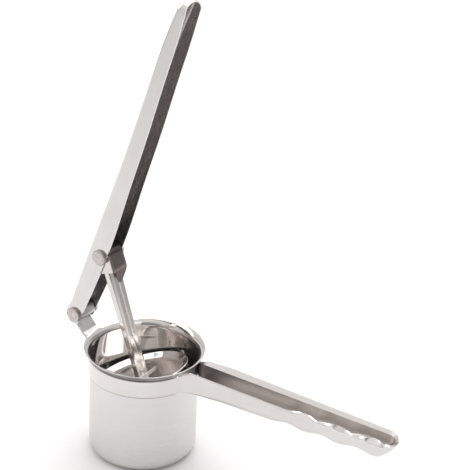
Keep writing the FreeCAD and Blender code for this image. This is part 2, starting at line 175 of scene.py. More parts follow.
def stainless(
    name, light, dark, smooth, rough, line_mm, reach_mm, line_depth, smudge_mm, turned_shine=0.0
):
    """Stainless steel with polishing lines along the grain and faint cloudy handling marks.

    light, dark: hex colours between which the surface drifts; smooth, rough: roughness range;
    line_mm: width of a polishing line; reach_mm: its length; line_depth: its depth in mm;
    smudge_mm: size of the clouds; turned_shine: how far the shine is drawn out across lines that run
    round the upright axis, where the tangent is that axis crossed with the place. It is metallic 0.94
    and not 1, so that reflections of reflections deep in the cup don't go black.
    """
    finish = bpy.data.materials.new(name)
    finish.use_nodes = True
    tree = finish.node_tree
    tree.nodes.clear()
    grain = node(tree, "ShaderNodeAttribute", {"attribute_name": "grain"})
    stretched = node(
        tree,
        "ShaderNodeMapping",
        {},
        {"Scale": (1 / (reach_mm * MM), 1 / (reach_mm * MM), 1 / (line_mm * MM))},
        {"Vector": grain.outputs["Vector"]},
    )
    lines = node(
        tree,
        "ShaderNodeTexNoise",
        {},
        {"Scale": 1.0, "Detail": 3.0, "Roughness": 0.6},
        {"Vector": stretched.outputs["Vector"]},
    )
    place = node(tree, "ShaderNodeTexCoord")
    clouds = node(
        tree,
        "ShaderNodeTexNoise",
        {},
        {"Scale": 1 / (smudge_mm * MM), "Detail": 4.0, "Roughness": 0.55},
        {"Vector": place.outputs["Object"]},
    )
    mixed = node(
        tree,
        "ShaderNodeMath",
        {"operation": "MULTIPLY_ADD"},
        {1: 0.55},
        {0: lines.outputs["Fac"]},
    )
    softened = node(
        tree, "ShaderNodeMath", {"operation": "MULTIPLY"}, {1: 0.45}, {0: clouds.outputs["Fac"]}
    )
    tree.links.new(softened.outputs[0], mixed.inputs[2])
    colour = node(tree, "ShaderNodeValToRGB", {}, {}, {"Fac": mixed.outputs[0]})
    colour.color_ramp.elements[0].position = 0.34
    colour.color_ramp.elements[0].color = linear(dark)
    colour.color_ramp.elements[1].position = 0.66
    colour.color_ramp.elements[1].color = linear(light)
    sheen = node(
        tree,
        "ShaderNodeMapRange",
        {},
        {"From Min": 0.34, "From Max": 0.66, "To Min": rough, "To Max": smooth},
        {"Value": mixed.outputs[0]},
    )
    relief = node(
        tree,
        "ShaderNodeBump",
        {},
        {"Strength": 1.0, "Distance": line_depth * MM},
        {"Height": lines.outputs["Fac"]},
    )
    shader = node(
        tree,
        "ShaderNodeBsdfPrincipled",
        {},
        {"Metallic": 0.94},
        {
            "Base Color": colour.outputs["Color"],
            "Roughness": sheen.outputs["Result"],
            "Normal": relief.outputs["Normal"],
        },
    )
    if turned_shine:
        round_axis = node(
            tree,
            "ShaderNodeVectorMath",
            {"operation": "CROSS_PRODUCT"},
            {0: (0.0, 0.0, 1.0)},
            {1: place.outputs["Object"]},
        )
        shader.inputs["Anisotropic"].default_value = turned_shine
        tree.links.new(round_axis.outputs["Vector"], shader.inputs["Tangent"])
    node(tree, "ShaderNodeOutputMaterial", {}, {}, {"Surface": shader.outputs["BSDF"]})
    return finish


# Satin: turned against an abrasive belt, so the lines run round and the shine is soft and drawn upright.
satin_round = stainless("satin_steel_round", "#dcdad9", "#d7d5d4", 0.27, 0.30, 0.5, 60.0, 0.00008, 40.0,
                        turned_shine=0.85)
# Bright: buffed with a mop, nearly a mirror with a few fine arcs.
bright_round = stainless("bright_steel_round", "#dad5d2", "#cdc8c5", 0.05, 0.10, 1.1, 60.0, 0.0006, 16.0)

cup_profile = np.concatenate([
    on_circle((cup_radius - cup_corner, cup_corner), cup_corner, sweep(-90, 0, 14)),
    np.stack([np.full(26, cup_radius), np.linspace(cup_corner, bell_start, 28)[1:-1]], -1),
    on_circle((cup_radius + bell_radius, bell_start), bell_radius, sweep(180, 180 - bell_turn, 20)),
])
cup_grain = turned_grain(cup_profile, round_the_cup)
cup_wall = patch(turned(cup_profile, round_the_cup), cup_grain, flip=True)


def punched_disc(radius, around):
    """Flat disc on z = 0 with the holes of a triangular grid left out, filled with triangles.

    Row k of holes is at y = k p sqrt(3)/2, with x = (i + k/2) p for whole numbers i.
    """
    k, i = np.meshgrid(np.arange(-9, 10), np.arange(-12, 13), indexing="ij")
    x = (i + 0.5 * (k % 2)) * hole_pitch
    y = k * hole_pitch * math.sqrt(3) / 2
    inside = np.hypot(x, y) <= punched_radius
    centres = np.stack([x[inside], y[inside]], -1)
    rim = on_circle((0.0, 0.0), radius, sweep(0, 360, around + 1)[:-1])
    ring = on_circle((0.0, 0.0), hole_radius, sweep(0, 360, round_a_hole + 1)[:-1])
    holes = (centres[:, None, :] + ring[None, :, :]).reshape(-1, 2)
    flat = np.concatenate([rim, holes])
    outer = np.arange(around)
    edges = [np.stack([outer, (outer + 1) % around], -1)]
    turn = np.arange(round_a_hole)
    start = around + round_a_hole * np.arange(len(centres))[:, None]
    pairs = np.stack([start + turn, start + (turn + 1) % round_a_hole], -1).reshape(-1, 2)
    edges.append(pairs)
    filled = delaunay_2d_cdt([Vector(p) for p in flat], np.concatenate(edges).tolist(), [], 2, 1e-6)
    corners = np.array([tuple(v) for v in filled[0]])
    faces = np.array(filled[2])[:, ::-1]
    level = np.column_stack([corners, np.zeros(len(corners))])
    lines = np.column_stack([corners[:, 0], corners[:, 0] * 0, corners[:, 1]])
    return level, lines, faces, 0


cup_base = punched_disc(cup_radius - cup_corner, round_the_cup)
cup = skin("cup_shell", [cup_wall, cup_base], "cup", "hopper", [satin_round, bright_round])
wall(cup, cup_sheet, 0.22)

# ------------------------------------------------------------- collar and lower handle
# One pressing of 1.2 mm sheet: a band round the cup that runs out through two concave
# curves into an open channel with turned-out lips, and finger waves on the near side.
frame_sheet = 1.2
collar_radius = 43.6
collar_bottom = 68.4
collar_top = 82.4
floor_meets_cup = 42.7
neck_radius = 12.0
neck_end = 51.4
channel_half = 9.2
shoulder_height = 84.9
tip_start = 202.0
tip_reach = 9.1
tip_lift_start = 198.0
tip_lift_reach = 14.9
floor_rise = 0.0375
lip_at_neck = 3.9
lip_growth = 24.0
far_lip_begins = 0.7
lip_taper = 0.0117
lip_slope = 0.727
lip_lost_at_tip = 0.45
grip_start = 117.0
grip_pitch = 27.0
grip_groove = 2.1
first_groove = 130.5
last_groove = 211.5
crest_height = 3.2
crest_lean = 0.5
crest_lean_rate = 0.0574
second_crest_start = 144.0
corner_at_neck = 1.5
corner_at_collar = 0.35
corner_further = 4.0
corner_full_at = 75.0
edge_curl = 0.35
edge_curl_height = 2.2
# Lengths of the grain only: down a wall, on across the floor, and between the two sides.
grain_down_wall = 15
grain_across_floor = 9
grain_apart = 40


def grip_wave(x):
    """0 at a groove, 1 at a crest: (1 - cos(2 pi (x - x0) / pitch)) / 2 on the gripped stretch."""
    wave = 0.5 * (1 - np.cos(2 * math.pi * (x - first_groove) / grip_pitch))
    return np.where((x < first_groove) | (x > last_groove), 0.0, wave)


def floor_height(x):
    """Underside of the channel: a gentle rise, with the grooves added past the start of the grip."""
    rise = collar_bottom + floor_rise * (x - neck_end)
    waves = 0.5 * grip_groove * (1 + np.cos(2 * math.pi * (x - first_groove) / grip_pitch))
    return rise + np.where(x > grip_start, waves, 0.0)


def handle_plan():
    """Outline of the near wall seen from above, from the tip to the back of the collar.

    A quarter of an ellipse at the tip, a straight, a concave curve at the neck and half the collar's circle.
    Gives the points, the outward normals, the x of the floor's middle line, how far round the neck each
    point is (0 to 1), and whether it is on the collar.
    """
    turn = sweep(90, 0, 22)
    tip = np.stack([tip_start + tip_reach * np.sin(turn), -channel_half * np.cos(turn)], -1)
    tip_out = np.stack([np.sin(turn) / tip_reach, -np.cos(turn) / channel_half], -1)
    tip_out /= np.linalg.norm(tip_out, axis=1)[:, None]
    gripped_x = np.linspace(tip_start, grip_start, 96)[1:]
    x = np.concatenate([gripped_x, np.linspace(grip_start, neck_end, 18)[1:]])
    straight = np.stack([x, np.full(len(x), -channel_half)], -1)
    straight_out = np.stack([0 * x, 0 * x - 1], -1)
    centre = np.array([neck_end, -(channel_half + neck_radius)])
    toward_cup = 180 - math.degrees(math.atan2(-centre[1], centre[0]))
    arc = on_circle(centre, neck_radius, sweep(90, toward_cup, 18)[1:])
    arc_out = (centre - arc) / neck_radius
    neck = np.linspace(0, 1, 18)[1:]
    begin = math.degrees(math.atan2(centre[1], centre[0]))
    band = on_circle((0.0, 0.0), collar_radius, sweep(begin, -180, 64)[1:])
    point = np.concatenate([tip, straight, arc, band])
    out = np.concatenate([tip_out, straight_out, arc_out, band / collar_radius])
    narrows = neck_end + (floor_meets_cup - neck_end) * neck
    on_tip = np.full(len(tip), tip_start)
    middle_x = np.concatenate([on_tip, x, narrows, np.full(len(band), floor_meets_cup)])
    share = np.concatenate([np.zeros(len(tip) + len(x)), neck, np.ones(len(band))])
    banded = np.arange(len(point)) >= len(point) - len(band)
    return point, out, middle_x, share, banded


def tip_lift(x):
    """Depth of the channel that is left towards the tip: a quarter of an ellipse."""
    return np.sqrt(np.clip(1 - (np.clip(x - tip_lift_start, 0, None) / tip_lift_reach) ** 2, 0, 1))


def channel_bottom(x, shoulder):
    """Underside of the channel, which rises to the shoulder as its depth goes at the tip."""
    return shoulder - (shoulder - floor_height(x)) * tip_lift(x)


def half_frame(side):
    """Lip, wall, corner and floor of one side: stations along the outline, rows down the sheet."""
    point, out, middle_x, share, banded = handle_plan()
    x = point[:, 0]
    on_channel = share == 0
    fading = share ** 2 * (3 - 2 * share)
    shoulder = shoulder_height + (collar_top - shoulder_height) * fading
    growing = np.clip((x - neck_end) / lip_growth, 0, 1)
    growing = growing ** 2 * (3 - 2 * growing)
    begins = 1.0 if side < 0 else far_lip_begins
    neck_lip = lip_at_neck * begins * (1 - fading if side < 0 else (1 - share) ** 2)
    channel_lip = (lip_at_neck - lip_taper * (x - neck_end)) * (begins + (1 - begins) * growing)
    lip = np.where(on_channel, channel_lip, neck_lip)
    narrowing = 1 - lip_lost_at_tip * np.clip((x - tip_start) / tip_reach, 0, 1) ** 2
    lip = lip * narrowing
    up = lip_slope * lip
    if side < 0:
        wave = np.where(on_channel, grip_wave(x), 0.0)
        lean = crest_lean + crest_lean_rate * np.clip(x - second_crest_start, 0, None)
        lip, up = lip * (1 - wave) - lean * wave, up * (1 - wave) + crest_height * wave
    bottom = np.where(on_channel, channel_bottom(x, shoulder), collar_bottom)
    ramp = np.clip((x - neck_end) / (corner_full_at - neck_end), 0, 1)
    channel_corner = corner_at_neck + (corner_further - corner_at_neck) * ramp
    neck_corner = corner_at_collar + (corner_at_neck - corner_at_collar) * (1 - share)
    corner = np.where(on_channel, channel_corner, np.where(banded, 0.0, neck_corner))
    corner = np.minimum(corner, 0.75 * (shoulder - bottom))
    inward = np.minimum(corner, 0.9 * channel_half)

    def column(value):
        """One value per row, made to spread over the columns."""
        return value[:, None]

    lip_rows = np.array([1.0, 0.85, 0.6, 0.35, 0.12])
    wall_rows = np.array([0.0, 0.03, 0.15, 0.3, 0.45, 0.6, 0.75, 0.85, 0.9, 0.95, 1.0])
    lip_out = column(lip) * lip_rows
    lip_z = column(shoulder) + column(up) * lip_rows
    wall_z = column(shoulder) + (column(bottom + corner) - column(shoulder)) * wall_rows
    turn = sweep(0, 90, 8)[1:]
    corner_in = column(inward) * (1 - np.cos(turn))
    corner_z = column(bottom) + column(corner) * (1 - np.sin(turn))
    into_curl = np.clip((collar_bottom + edge_curl_height - wall_z) / edge_curl_height, 0, None)
    curl = np.where(column(banded), edge_curl * into_curl ** 2, 0.0)
    reach = np.concatenate([lip_out, -curl, -corner_in], 1)
    height = np.concatenate([lip_z, wall_z, corner_z], 1)
    plan = point[:, None, :] + reach[..., None] * out[:, None, :]
    start = plan[:, -1, :]
    across = np.linspace(0, 1, 8)[1:]
    middle = np.stack([middle_x, 0 * middle_x], -1)
    straight = start[:, None, :] + across[None, :, None] * (middle - start)[:, None, :]
    radius = np.linalg.norm(start, axis=1)[:, None] * (1 - across) + column(middle_x) * across
    angle = column(np.arctan2(start[:, 1], start[:, 0])) * (1 - across)
    curved = np.stack([radius * np.cos(angle), radius * np.sin(angle)], -1)
    bend = share[:, None, None]
    floor = straight * (1 - bend) + curved * bend
    channel_floor = channel_bottom(floor[..., 0], shoulder_height)
    floor_z = np.where(column(on_channel), channel_floor, collar_bottom)
    plan = np.concatenate([plan, floor], 1)
    height = np.concatenate([height, floor_z], 1)
    points = np.concatenate([plan, height[..., None]], -1)
    step = np.linalg.norm(np.diff(point, axis=0), axis=1)
    along = np.concatenate([[0.0], np.cumsum(step)])[:, None] + 0 * height
    down = np.concatenate([lip_out, column(shoulder) - np.concatenate([wall_z, corner_z], 1),
                           grain_down_wall + grain_across_floor * across + 0 * floor_z], 1)
    grain = np.stack([along, 0 * along + grain_apart * (side + 2), down], -1)
    keep = np.ones((points.shape[0] - 1, points.shape[1] - 1), bool)
    last_wall_row = lip_out.shape[1] + wall_z.shape[1] - 1
    keep[banded[1:], last_wall_row:] = False
    if side > 0:
        points = points * np.array([1.0, -1.0, 1.0])
    # The last wall row round the collar's lower edge: a strip of painted shadow under the collar.
    edge = np.zeros(keep.shape, bool)
    edge[banded[1:], last_wall_row - 1 : last_wall_row] = True
    return [
        patch(points, grain, flip=side > 0, keep=keep & ~edge),
        patch(points, grain, flip=side > 0, keep=edge, finish=1),
    ]


# Lever outside: belt-polished along its length, soft bright. Inside it is dull, and darker as painted shade
# for the hollow of the channel.
satin_long = stainless("satin_steel_long", "#dcd9d8", "#d0cdcc", 0.13, 0.18, 0.6, 90.0, 0.0004, 28.0)
painted_shade_lever_inside = stainless(
    "painted_shade_lever_inside_steel", "#bab6b5", "#a39e9d", 0.22, 0.34, 0.8, 60.0, 0.0012, 14.0)
# Lower handle: a satin outside, an inside lighter than the lever's but darker than the outside as painted
# shade in the channel's hollow, and a dark strip along the collar's lower edge painted as the shadow line
# under the collar.
painted_shade_channel = stainless(
    "painted_shade_steel_channel", "#c8c3c0", "#bcb7b4", 0.26, 0.34, 0.8, 60.0, 0.0003, 14.0)
satin_handle = stainless(
    "satin_steel_handle", "#e0dddb", "#d6d3d1", 0.18, 0.23, 0.6, 90.0, 0.0003, 28.0)
painted_shadow_edge = stainless(
    "painted_shadow_steel_edge", "#b6b2af", "#a6a19e", 0.25, 0.35, 0.6, 30.0, 0.0004, 14.0)
frame_piece = skin("frame_pressing", half_frame(-1) + half_frame(1), "frame", "frame_handle",
                   [satin_handle, painted_shadow_edge, painted_shade_channel])
wall(frame_piece, frame_sheet, 0.3)

# --------------------------------------------------------------------------- hinge strap
# A strap of 2.2 mm plate spot-welded to the back of the collar, bent out and up past the
# bell, with its end rolled round the hinge rivet to make a knuckle between the lever's walls.
hinge = np.array([-60.5, 99.4])
strap_sheet = 2.2
strap_half = 8.2
strap_roll = 3.65 + strap_sheet / 2
strap_roll_turn = 306
strap_tab_bottom = 69.4
strap_tab_top = 79.0
strap_knee = np.array([-53.8, 84.2])


def rounded(corners, radii, steps=7):
    """Path through the corners with each inner corner replaced by a tangent arc of its radius."""
    path = [corners[0][None, :]]
    for before, corner, after, radius in zip(corners, corners[1:], corners[2:], radii):
        a = (before - corner) / np.linalg.norm(before - corner)
        b = (after - corner) / np.linalg.norm(after - corner)
        half = 0.5 * math.acos(float(np.clip(np.dot(a, b), -1, 1)))
        centre = corner + (a + b) / np.linalg.norm(a + b) * radius / math.sin(half)
        start = corner + a * radius / math.tan(half) - centre
        end = corner + b * radius / math.tan(half) - centre
        angle = np.arctan2(start[1], start[0])
        turn = (np.arctan2(end[1], end[0]) - angle + math.pi) % (2 * math.pi) - math.pi
        path.append(on_circle(centre, radius, angle + turn * np.linspace(0, 1, steps)))
    path.append(corners[-1][None, :])
    return np.concatenate(path)


def strap_path():
    """Middle line of the strap, then the roll: most of a circle about the rivet."""
    to_pin = hinge - strap_knee
    reach = np.linalg.norm(to_pin)
    turn = math.asin(strap_roll / reach)
    angle = math.atan2(to_pin[1], to_pin[0]) + turn
    tangent = strap_knee + np.array([math.cos(angle), math.sin(angle)]) * reach * math.cos(turn)
    foot_x = -(collar_radius + strap_sheet / 2 + 0.1)
    line = rounded(
        [np.array([foot_x, strap_tab_bottom]), np.array([foot_x, strap_tab_top]), strap_knee, tangent],
        [3.0, 3.5])
    start = math.degrees(math.atan2(tangent[1] - hinge[1], tangent[0] - hinge[0]))
    roll = on_circle(hinge, strap_roll, sweep(start, start - strap_roll_turn, 44)[1:])
    return np.concatenate([line, roll])


strap_line = strap_path()
strap_inner_y = np.linspace(-strap_half + 0.8, strap_half - 0.8, 9)
strap_y = np.concatenate([[-strap_half], strap_inner_y, [strap_half]])
strap_bend = collar_radius + strap_sheet / 2
hug = strap_bend - np.sqrt(strap_bend ** 2 - strap_y ** 2)
hugging = np.clip((strap_knee[1] - strap_line[:, 1]) / (strap_knee[1] - strap_tab_top), 0, 1)[:, None]
stations_near_collar = 12
near_collar = (np.arange(len(strap_line)) < stations_near_collar)[:, None]
strap_points = np.stack([
    strap_line[:, :1] + hug * hugging * near_collar,
    strap_y + 0 * strap_line[:, :1],
    strap_line[:, 1:] + 0 * strap_y,
], -1)
strap_length = np.concatenate([[0.0], np.cumsum(np.linalg.norm(np.diff(strap_line, axis=0), axis=1))])
strap_grain = np.stack([strap_y + 0 * strap_length[:, None], 0 * strap_points[..., 0],
                        strap_length[:, None] + 0 * strap_y], -1)
# Plate as rolled, wiped across with a coarse belt: grey, with lines across the strap.
brushed_plate = stainless(
    "brushed_plate_steel", "#cbc9c8", "#a5a2a1", 0.28, 0.42, 0.5, 18.0, 0.003, 9.0)
strap = skin("hinge_strap", [patch(strap_points, strap_grain)], "frame", "hinge_lug",
             [brushed_plate])
wall(strap, strap_sheet, 0.4, offset=0.0)

# --------------------------------------------------------------------------------- lever
# A long channel pressed from 1.2 mm sheet, open towards the cup, with a rounded heel round
# the hinge rivet, a crowned closed end, and shallow grip ridges pressed into its back.
lever_angle = math.radians(70.3)
lever_half = 10.0
lever_sheet = 1.2
lever_corner = 3.0
lever_heel = 7.8
lever_heel_arc = 104.9
lever_heel_front = -5.6
lever_web_start = 2.0
lever_straight = 270.0
lever_crown = 7.0
tip_back = 4.2
tip_front = 0.9
ridge_first = 184.0
ridge_count = 13
ridge_pitch = 5.0
ridge_half_width = 1.15
ridge_proud = 0.5
lever_along = np.array([0.0, 40.0, 81.0, 127.0, 172.0, 216.0, 245.0, 270.0])
lever_back = np.array([7.8, 7.9, 7.6, 7.0, 7.0, 7.7, 8.1, 6.9])
lever_front = np.array([-5.6, -8.2, -8.9, -7.2, -5.9, -3.8, -2.7, -1.1])


def smooth_through(x, knots, values):
    """Cubic curve through the knots whose slope at each knot is that of its two neighbours."""
    slope = np.gradient(values, knots)
    k = np.clip(np.searchsorted(knots, x, side="right") - 1, 0, len(knots) - 2)
    h = knots[k + 1] - knots[k]
    t = np.clip((x - knots[k]) / h, 0, 1)
    return (values[k] * (2 * t ** 3 - 3 * t ** 2 + 1) + slope[k] * h * (t ** 3 - 2 * t ** 2 + t)
            + values[k + 1] * (3 * t ** 2 - 2 * t ** 3) + slope[k + 1] * h * (t ** 3 - t ** 2))


def on_lever(s, y, n):
    """Lever's own lengths to the row frame: s up the lever, n to its back, y across."""
    x = hinge[0] + s * math.cos(lever_angle) - n * math.sin(lever_angle)
    z = hinge[1] + s * math.sin(lever_angle) + n * math.cos(lever_angle)
    return np.stack(np.broadcast_arrays(x, y, z), -1)


def lever_skin():
    """Rows up the lever, columns round its section: near wall, corner, back, corner, far wall."""
    heel_turn = sweep(0, lever_heel_arc, 14)
    heel = -lever_heel * np.cos(heel_turn)
    body = np.concatenate([
        [lever_web_start, 2.6], np.linspace(4.0, 181.0, 60), np.linspace(181.6, 246.4, 163),
        np.linspace(249.0, lever_straight, 8)])
    crown_turn = sweep(0, 90, 15)[1:]
    s = np.concatenate([heel[:-1], body, lever_straight + lever_crown * np.sin(crown_turn)])
    on_heel = s < lever_web_start
    width = np.concatenate([np.ones(len(s) - len(crown_turn)), np.cos(crown_turn)])
    drop = 1 - width
    back = smooth_through(np.clip(s, 0, lever_straight), lever_along, lever_back)
    back = back - (lever_back[-1] - tip_back) * drop
    front = smooth_through(np.clip(s, 0, lever_straight), lever_along, lever_front)
    front = front + (tip_front - lever_front[-1]) * np.clip((s - lever_straight) / lever_crown, 0, 1)
    round_heel = np.sqrt(np.clip(lever_heel ** 2 - s ** 2, 0, None))
    back = np.where(on_heel, round_heel, back)
    front = np.where(s < 0, np.maximum(lever_heel_front, -round_heel), front)
    half = lever_half * width
    settle = np.clip((s - lever_web_start) / 6.0, 0, 1)
    corner = 0.4 + (lever_corner - 0.4) * settle ** 2 * (3 - 2 * settle)
    corner = np.where(on_heel, 0.0, np.minimum(corner, 0.9 * half))
    nearest = np.clip(np.round((s - ridge_first) / ridge_pitch), 0, ridge_count - 1)
    away = np.abs(s - ridge_first - ridge_pitch * nearest)
    ridge = ridge_proud * np.clip(1 - (away / ridge_half_width) ** 2, 0, 1)

    def column(value):
        """One value per row, made to spread over the columns."""
        return value[:, None]

    w = np.array([0.0, 0.04, 0.2, 0.4, 0.6, 0.8, 0.94, 1.0])
    wall_n = column(front) + column(back - corner - front) * w
    wall_y = -column(half) + 0 * wall_n
    turn = sweep(0, 90, 9)[1:]
    corner_y = -column(half - corner) - column(corner) * np.cos(turn)
    corner_n = column(back - corner) + column(corner) * np.sin(turn)
    across = np.linspace(-1, 1, 17)[1:-1]
    web_y = column(half - corner) * across
    ridge_fade = np.clip((1 - np.abs(across)) / 0.2, 0, 1)
    web_n = column(back) + column(ridge) * ridge_fade
    y = np.concatenate([wall_y, corner_y, web_y, -corner_y[:, ::-1], -wall_y[:, ::-1]], 1)
    n = np.concatenate([wall_n, corner_n, web_n, corner_n[:, ::-1], wall_n[:, ::-1]], 1)
    points = on_lever(column(s), y, n)
    keep = np.ones((points.shape[0] - 1, points.shape[1] - 1), bool)
    columns = len(w)
    keep[on_heel[1:] | on_heel[:-1], columns - 1 : -(columns - 1)] = False
    grain = np.stack([column(s) + 0 * y, 0 * y, y - n], -1)
    return patch(points, grain, keep=keep)


lever = skin("lever_pressing", [lever_skin()], "lever", "lever",
             [satin_long, painted_shade_lever_inside])
wall(lever, lever_sheet, 0.3)

# -------------------------------------------------------------------------------- rivets
# Two steel rivets set cold through both walls of the lever: a thick one in the knuckle and
# a thinner one through the bracket's ears, each with a wide flat head hammered on both ends.
plunger_pin_along = 61.7
plunger_pin_off = -3.9
head_radius = 6.0
head_height = 2.4
head_dome = 0.25


def rivet_skin(shank, along, off):
    """Profile of head, shank and head carried round an axis across the lever."""
    edge = lever_half + head_height
    face = np.array([[0.0, edge], [2.0, edge - 0.02], [4.0, edge - 0.09], [5.1, edge - head_dome]])
    rounding = on_circle((head_radius - 0.7, edge - head_dome - 0.7), 0.7, sweep(80, 0, 6))
    under = np.array([
        [head_radius, lever_half + 0.3],
        [head_radius - 0.15, lever_half],
        [shank + 0.3, lever_half],
    ])
    end = np.concatenate([face, rounding, under])
    inner = np.array([[shank, lever_half - 0.3], [shank, 0.0], [shank, -lever_half + 0.3]])
    profile = np.concatenate([end, inner, end[::-1] * np.array([1.0, -1.0])])
    ring = turned(profile, 48)
    grain = turned_grain(profile, 48, 6.0)
    points = on_lever(along + ring[..., 0], ring[..., 2], off + ring[..., 1])
    # The flat faces take the first finish; the heads' rounded sides, undersides and the shanks take the
    # darker one, painted shade on the side of each head.
    caps = np.zeros((len(profile) - 1, 48), bool)
    caps[: len(face)] = True
    caps[-len(face) :] = True
    return [patch(points, grain, keep=caps), patch(points, grain, keep=~caps, finish=1)]


# Rivet steel: faces flattened by the setting tool, mottled and a little warm in colour.
# The darker finish on the heads' rounded sides and undersides is painted shade.
drawn_bar_painted_shade = stainless("drawn_bar_painted_shade_steel", "#a8a29c", "#8d8781", 0.16, 0.26, 0.5, 12.0, 0.001, 4.0)
set_rivet = stainless("set_rivet_steel", "#d8d2cf", "#a7a19e", 0.20, 0.42, 1.6, 3.0, 0.02, 2.2)
for rivet_name, stands_for, shank, along, off in (
    ("hinge_rivet", "hinge_pin", 3.6, 0.0, 0.0),
    ("plunger_rivet", "plunger_pin", 3.1, plunger_pin_along, plunger_pin_off),
):
    skin(rivet_name, rivet_skin(shank, along, off), "lever", stands_for,
         [set_rivet, drawn_bar_painted_shade])

# ------------------------------------------------------------------------ plunger bracket
# A bracket folded from 1.2 mm sheet: two ears on the plunger rivet, a front web over it, and
# a tongue that runs down on to the arm, where it is welded.
plunger_tilt = math.radians(20.0)
plunger_pin = on_lever(plunger_pin_along, 0.0, plunger_pin_off)
ear_half = 8.4
ear_radius = 8.4
ear_depth = 13.5
ear_bore = 3.15
ear_corner = 1.6
tongue_end = 23.5
tongue_half = 1.3
tongue_level = 4.6
plunger_sheet = 1.2


def on_plunger(x, y, z):
    """Plunger's own lengths to the row frame: z up along the arm from the rivet, x to the front."""
    c = math.cos(plunger_tilt)
    s = math.sin(plunger_tilt)
    px, py, pz = np.broadcast_arrays(x, y, z)
    return np.stack([plunger_pin[0] + px * c - pz * s, py, plunger_pin[2] + px * s + pz * c], -1)


def bracket_skin():
    """Rays from the rivet out to the ear's outline, then round a bend and across the front web.

    The outline is a circle above the rivet and a rectangle below it.
    """
    low = math.degrees(math.atan2(-ear_depth, ear_radius))
    angle = np.concatenate([sweep(low, 0, 9), sweep(0, 90, 15)[1:], sweep(90, 180, 13)[1:],
                            sweep(180, 180 - low, 8)[1:], sweep(180 - low, 360 + low, 10)[1:]])
    direction = np.stack([np.cos(angle), np.sin(angle)], -1)
    box = np.minimum(ear_radius / np.maximum(np.abs(direction[:, 0]), 1e-6),
                     ear_depth / np.maximum(np.abs(direction[:, 1]), 1e-6))
    reach = np.where(direction[:, 1] >= 0, ear_radius, box)
    outline = direction * reach[:, None]
    webbed = angle <= math.pi / 2 + 1e-6
    closing = np.arange(len(angle)) == len(angle) - 1
    normal = np.where(((angle < 0) | closing)[:, None], np.array([1.0, 0.0]), direction)
    bend = np.where(webbed | closing, ear_corner, 0.0)[:, None]
    edge = outline - normal * bend
    w = np.linspace(0, 1, 6)
    bore = direction * ear_bore
    ear = bore[:, None, :] + (edge - bore)[:, None, :] * w[None, :, None]
    turn = sweep(0, 90, 7)[1:]
    bent = edge[:, None, :] + normal[:, None, :] * (bend * np.sin(turn))[..., None]
    bent_y = -ear_half + bend * (1 - np.cos(turn))
    across = np.linspace(-1, 1, 9)[1:-1]
    web = outline[:, None, :] + 0 * across[None, :, None]
    web_y = (ear_half - bend) * across
    plan = np.concatenate([ear, bent, web, bent[:, ::-1], ear[:, ::-1]], 1)
    ear_y = np.full(ear.shape[:2], -ear_half)
    y = np.concatenate([ear_y, bent_y, web_y, -bent_y[:, ::-1], -ear_y], 1)
    points = on_plunger(plan[..., 0], y, plan[..., 1])
    keep = np.ones((points.shape[0] - 1, points.shape[1] - 1), bool)
    folded = np.zeros(keep.shape, bool)
    folded[webbed[1:], len(w) - 1 : -(len(w) - 1)] = True
    # The crown of the web takes the darkest finish, a painted dark reflection.
    crown = folded & (angle[1:] > 0.1)[:, None]
    keep[:, len(w) - 1 : -(len(w) - 1)] = False
    grain = np.stack([plan[..., 0], plan[..., 1], y], -1)
    fold = slice(len(w) - 1, points.shape[1] - len(w) + 1)
    first_plan, first_y = plan[0, fold], y[0, fold]
    down = np.linspace(0, 1, 8)[:, None]
    squeeze = 1 + (tongue_half / ear_half - 1) * down
    flat = first_plan[:, 0] + (ear_radius - first_plan[:, 0]) * np.clip(3 * down, 0, 1)
    tongue_x = flat + (tongue_level - ear_radius) * down
    tongue_z = first_plan[:, 1] + (ear_depth - tongue_end) * down
    tongue_y = first_y * squeeze
    tongue = on_plunger(tongue_x, tongue_y, tongue_z)
    tongue_grain = np.stack([tongue_x, tongue_z, tongue_y], -1)
    return [
        patch(points, grain, flip=True, keep=keep),
        patch(points, grain, flip=True, keep=folded & ~crown, finish=1),
        patch(points, grain, flip=True, keep=crown, finish=2),
        patch(tongue, tongue_grain, finish=2),
    ]


# Fittings: small foldings, tumbled after pressing, bright on their edges and darker on the flats.
tumbled = stainless("tumbled_steel", "#e0dcd9", "#cfcac6", 0.10, 0.18, 0.9, 30.0, 0.0008, 12.0)
# The bracket's web is a darker brown-grey than the other foldings.
brown_grey_web = stainless("brown_grey_web_steel", "#857b78", "#6f6663", 0.16, 0.26, 0.9, 20.0, 0.001, 6.0)
# Darker still on the web's crown, the tongue and all inner faces: painted dark reflection and painted shade.
painted_shade_dark = stainless("painted_shade_dark_steel", "#615957", "#504846", 0.18, 0.28, 0.9, 20.0, 0.001, 5.0)
bracket = skin("bracket_folding", bracket_skin(), "plunger", "plunger_bracket",
               [tumbled, brown_grey_web, painted_shade_dark])
wall(bracket, plunger_sheet, 0.25)

# --------------------------------------------------------------------------- plunger arm
# A narrow channel of 1.2 mm sheet, open to the front, welded into the bracket above and to
# the foot below, and a little narrower at its lower end.
arm_start = 9.0
arm_parallel_end = 15.0
arm_end = 99.3
arm_half_top = 7.2
arm_half_foot = 5.4
arm_front = 1.3
arm_back = -3.8
arm_bend = 1.5
arm_length = np.concatenate([np.linspace(arm_start, arm_parallel_end, 4),
                             np.linspace(arm_parallel_end, arm_end, 40)[1:]])
arm_half = np.interp(arm_length, [arm_parallel_end, arm_end], [arm_half_top, arm_half_foot])[:, None]
arm_turn = sweep(0, 90, 6)
side_x = np.array([arm_front, arm_front - 0.4, -0.6])
near_x = np.concatenate([side_x, arm_back + arm_bend * (1 - np.sin(arm_turn))])
near_in = np.concatenate([np.zeros(3), arm_bend * (1 - np.cos(arm_turn))])
back_y = np.linspace(-1, 1, 8)[1:-1]
arm_x = np.concatenate([near_x, np.full(6, arm_back), near_x[::-1]]) + 0 * arm_half
